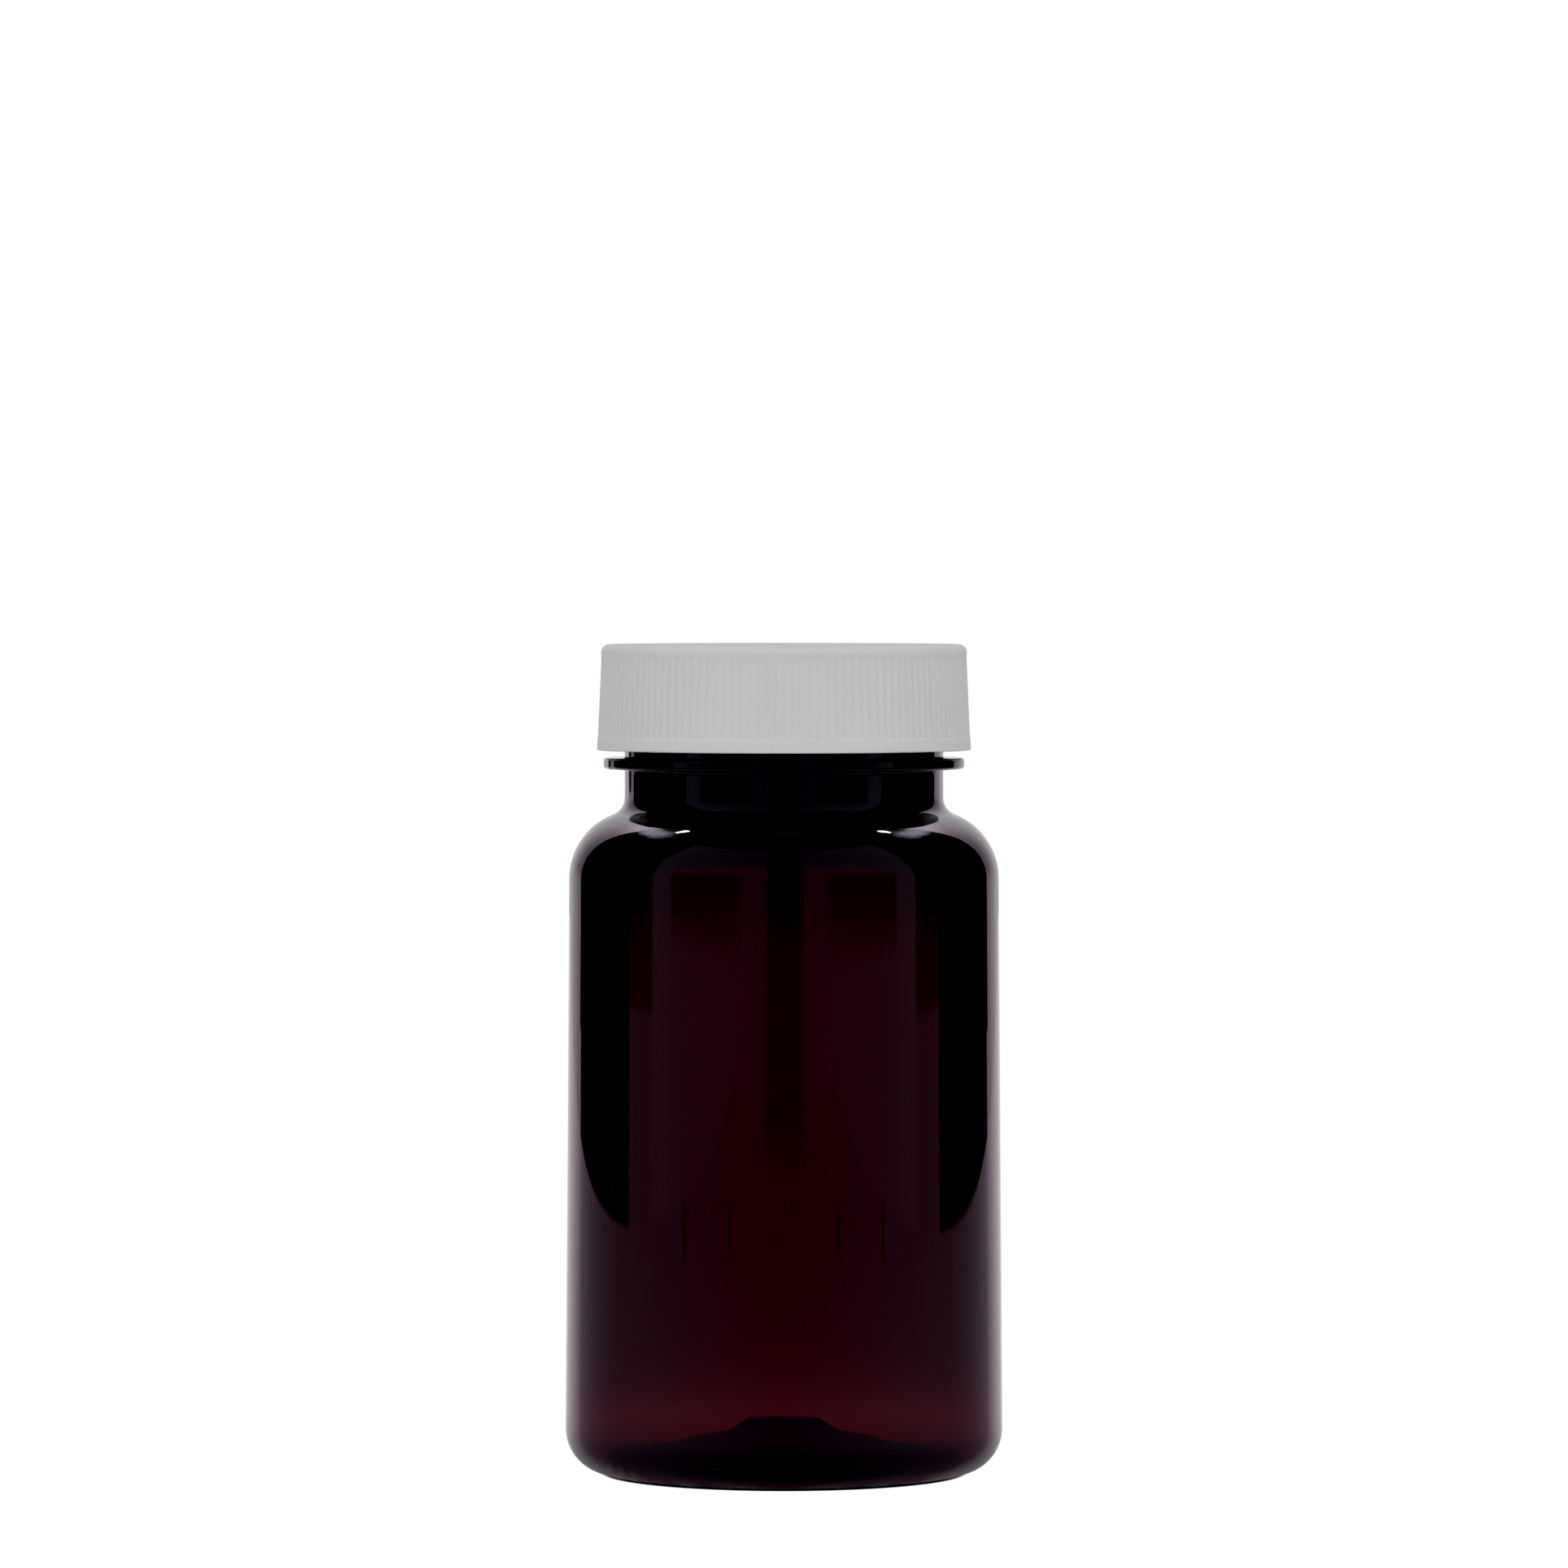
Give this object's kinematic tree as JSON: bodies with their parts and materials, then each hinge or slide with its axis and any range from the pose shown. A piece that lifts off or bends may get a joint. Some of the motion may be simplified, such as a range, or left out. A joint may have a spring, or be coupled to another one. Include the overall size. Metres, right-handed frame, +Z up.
{
  "type": "prescription vial",
  "caption": "Dark amber wide-mouth pill bottle with a support ring on its neck and a white finely ribbed screw cap that unscrews and lifts off.",
  "frame": {"origin": "centre of the base, on the plane that the bottle stands on", "axes": "+Z up along the axis of the bottle, its thread and its cap; +X to the right and +Y away from the viewer"},
  "size_m": [0.048, 0.048, 0.0909],
  "materials": {
    "amber_pet": "dark brown-red transparent PET, glossy, smooth",
    "white_pp": "white polypropylene, satin, slightly translucent",
    "pulpboard": "off-white pressed pulpboard, matt",
    "seal_foil": "rolled aluminium foil under a clear sealing film, satin"
  },
  "bodies": {
    "bottle": {"bottle": "amber_pet"},
    "liner": {"liner_backing": "pulpboard", "foil_seal": "seal_foil"},
    "cap": {"cap": "white_pp"}
  },
  "joints": [
    {"name": "liner_lift", "type": "slide", "parent": "bottle", "child": "liner", "axis": [0, 0, 1], "range_m": [0, 0.0127]},
    {"name": "cap_turn", "type": "hinge", "parent": "liner", "child": "cap", "pos_m": [0, 0, 0.0854], "axis": [0, 0, 1], "range_deg": [0, 1080]}
  ],
  "couplings": [
    {"joint": "liner_lift", "follows": "cap_turn", "m_per_rad": 0.0006737}
  ]
}
